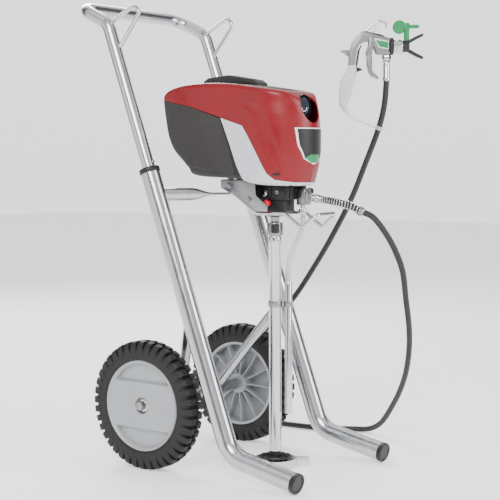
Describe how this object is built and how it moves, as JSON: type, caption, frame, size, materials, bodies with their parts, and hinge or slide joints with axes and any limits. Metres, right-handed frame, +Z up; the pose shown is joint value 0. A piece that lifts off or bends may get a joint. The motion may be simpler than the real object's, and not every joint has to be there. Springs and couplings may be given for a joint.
{
  "type": "airless paint sprayer",
  "caption": "Electric airless paint sprayer on a two-wheeled tube cart with sliding handle, suction tube, pail hook, pressure hose and spray gun with a reversible tip.",
  "frame": {"origin": "on the floor, under the middle of the axle", "axes": "+Z up, -Y to the front where the pump and the skids are, +X to the side the hose leaves from"},
  "size_m": [0.5649, 0.5882, 0.9235],
  "materials": {
    "zinc_tube": "bright zinc plated steel tube, satin",
    "black_plastic": "fine grained moulded plastic",
    "tyre_rubber": "moulded rubber with block tread",
    "rim_plastic": "moulded silver-grey plastic",
    "red_plastic": "glossy moulded plastic",
    "charcoal_plastic": "textured moulded plastic",
    "white_plastic": "glossy moulded plastic",
    "label": "printed plate with a plain green band",
    "steel": "machined steel",
    "aluminium_cast": "die-cast aluminium",
    "copper_steel": "laminated steel with copper windings",
    "brass": "machined brass",
    "board": "printed circuit board",
    "red_button": "moulded plastic",
    "knob_plastic": "moulded plastic",
    "cup_plastic": "moulded plastic",
    "clear_hose": "translucent flexible hose",
    "hose_rubber": "extruded hose cover",
    "green_plastic": "glossy moulded plastic"
  },
  "bodies": {
    "cart": {"left_side_tube": "zinc_tube", "right_side_tube": "zinc_tube", "foot_caps": "black_plastic", "collars": "black_plastic", "axle_tube": "zinc_tube", "axle_rod": "steel", "struts": "zinc_tube", "support_arms": "zinc_tube", "mount_bracket": "steel", "pail_hook": "zinc_tube", "axle_cap_nuts": "steel", "bracket_bolts": "steel", "inlet_valve": "steel", "red_cover": "red_plastic", "grey_cover": "charcoal_plastic", "white_cover": "white_plastic", "base_plate": "black_plastic", "carry_handle": "charcoal_plastic", "label_plate": "label", "motor_stator": "copper_steel", "gear_frame": "aluminium_cast", "control_board": "board", "cord_inlet": "black_plastic", "pump_block": "black_plastic", "outlet_fitting": "steel", "suction_tube": "zinc_tube", "strainer": "black_plastic", "drip_cup": "cup_plastic", "return_tube": "zinc_tube", "return_hose": "clear_hose", "tube_clip": "steel", "spring_guard": "steel", "hose_end_pump": "hose_rubber", "paint_hose": "hose_rubber", "hose_end_gun": "steel", "gun_body": "aluminium_cast", "gun_grip": "white_plastic", "gun_hook": "steel", "trigger_pin": "steel", "diffuser": "steel"},
    "handle": {"handle_tube": "zinc_tube", "handle_loops": "zinc_tube", "handle_guides": "black_plastic"},
    "left_snap": {"left_snap_button": "steel"},
    "right_snap": {"right_snap_button": "steel"},
    "left_wheel": {"left_tyre": "tyre_rubber", "left_rim": "rim_plastic"},
    "right_wheel": {"right_tyre": "tyre_rubber", "right_rim": "rim_plastic"},
    "rotor": {"motor_rotor": "copper_steel"},
    "crank": {"crank_gear": "brass"},
    "plunger": {"piston": "steel"},
    "power_rocker": {"power_switch": "black_plastic"},
    "knob": {"pressure_knob": "knob_plastic"},
    "prime": {"prime_button": "red_button"},
    "suction_nut": {"coupling_nut": "black_plastic"},
    "trigger": {"gun_trigger": "aluminium_cast"},
    "lock": {"trigger_lock": "black_plastic"},
    "guard": {"tip_guard": "black_plastic"},
    "tip": {"spray_tip": "green_plastic"}
  },
  "joints": [
    {"name": "handle_slide", "type": "slide", "parent": "cart", "child": "handle", "axis": [0, 0.3404, 0.9403], "range_m": [-0.2, 0]},
    {"name": "left_snap_press", "type": "slide", "parent": "handle", "child": "left_snap", "axis": [0, 0.9403, -0.3404], "range_m": [0, 0.004], "stiffness_N_per_m": 1500, "springref_m": -0.002},
    {"name": "right_snap_press", "type": "slide", "parent": "handle", "child": "right_snap", "axis": [0, 0.9403, -0.3404], "range_m": [0, 0.004], "stiffness_N_per_m": 1500, "springref_m": -0.002},
    {"name": "left_wheel_spin", "type": "hinge", "parent": "cart", "child": "left_wheel", "pos_m": [-0.1575, 0, 0.127], "axis": [1, 0, 0], "continuous": true},
    {"name": "right_wheel_spin", "type": "hinge", "parent": "cart", "child": "right_wheel", "pos_m": [0.1575, 0, 0.127], "axis": [1, 0, 0], "continuous": true},
    {"name": "crank_spin", "type": "hinge", "parent": "cart", "child": "crank", "pos_m": [0, -0.178, 0.64], "axis": [0, 1, 0], "continuous": true},
    {"name": "rotor_spin", "type": "hinge", "parent": "cart", "child": "rotor", "pos_m": [0, -0.178, 0.7], "axis": [0, 1, 0], "continuous": true},
    {"name": "piston_slide", "type": "slide", "parent": "cart", "child": "plunger", "axis": [0, 0, 1], "range_m": [-0.006, 0.006]},
    {"name": "power_rock", "type": "hinge", "parent": "cart", "child": "power_rocker", "pos_m": [0.064, -0.015, 0.665], "axis": [0, 1, 0], "range_deg": [-8, 0]},
    {"name": "pressure_turn", "type": "hinge", "parent": "cart", "child": "knob", "pos_m": [0, -0.246, 0.708], "axis": [0, -1, 0], "range_deg": [-120, 150]},
    {"name": "prime_press", "type": "slide", "parent": "cart", "child": "prime", "axis": [1, 0, 0], "range_m": [0, 0.0035], "stiffness_N_per_m": 800, "springref_m": -0.002},
    {"name": "suction_nut_turn", "type": "hinge", "parent": "cart", "child": "suction_nut", "pos_m": [0, -0.197, 0.47], "axis": [0, 0, 1], "continuous": true},
    {"name": "trigger_pull", "type": "hinge", "parent": "cart", "child": "trigger", "pos_m": [0.19728, -0.29739, 0.844], "axis": [0.807, 0.5906, 0], "range_deg": [0, 9], "stiffness_Nm_per_rad": 2, "springref_deg": -5.73},
    {"name": "trigger_lock_turn", "type": "hinge", "parent": "cart", "child": "lock", "pos_m": [0.18074, -0.27479, 0.787], "axis": [0.807, 0.5906, 0], "range_deg": [0, 80]},
    {"name": "guard_turn", "type": "hinge", "parent": "cart", "child": "guard", "pos_m": [0.23744, -0.35227, 0.8335], "axis": [0.5906, -0.807, 0], "range_deg": [-90, 90]},
    {"name": "tip_turn", "type": "hinge", "parent": "guard", "child": "tip", "pos_m": [0.23862, -0.35388, 0.8335], "axis": [0, 0, 1], "range_deg": [0, 180]}
  ],
  "couplings": [
    {"joint": "rotor_spin", "follows": "crank_spin", "ratio": -4}
  ]
}
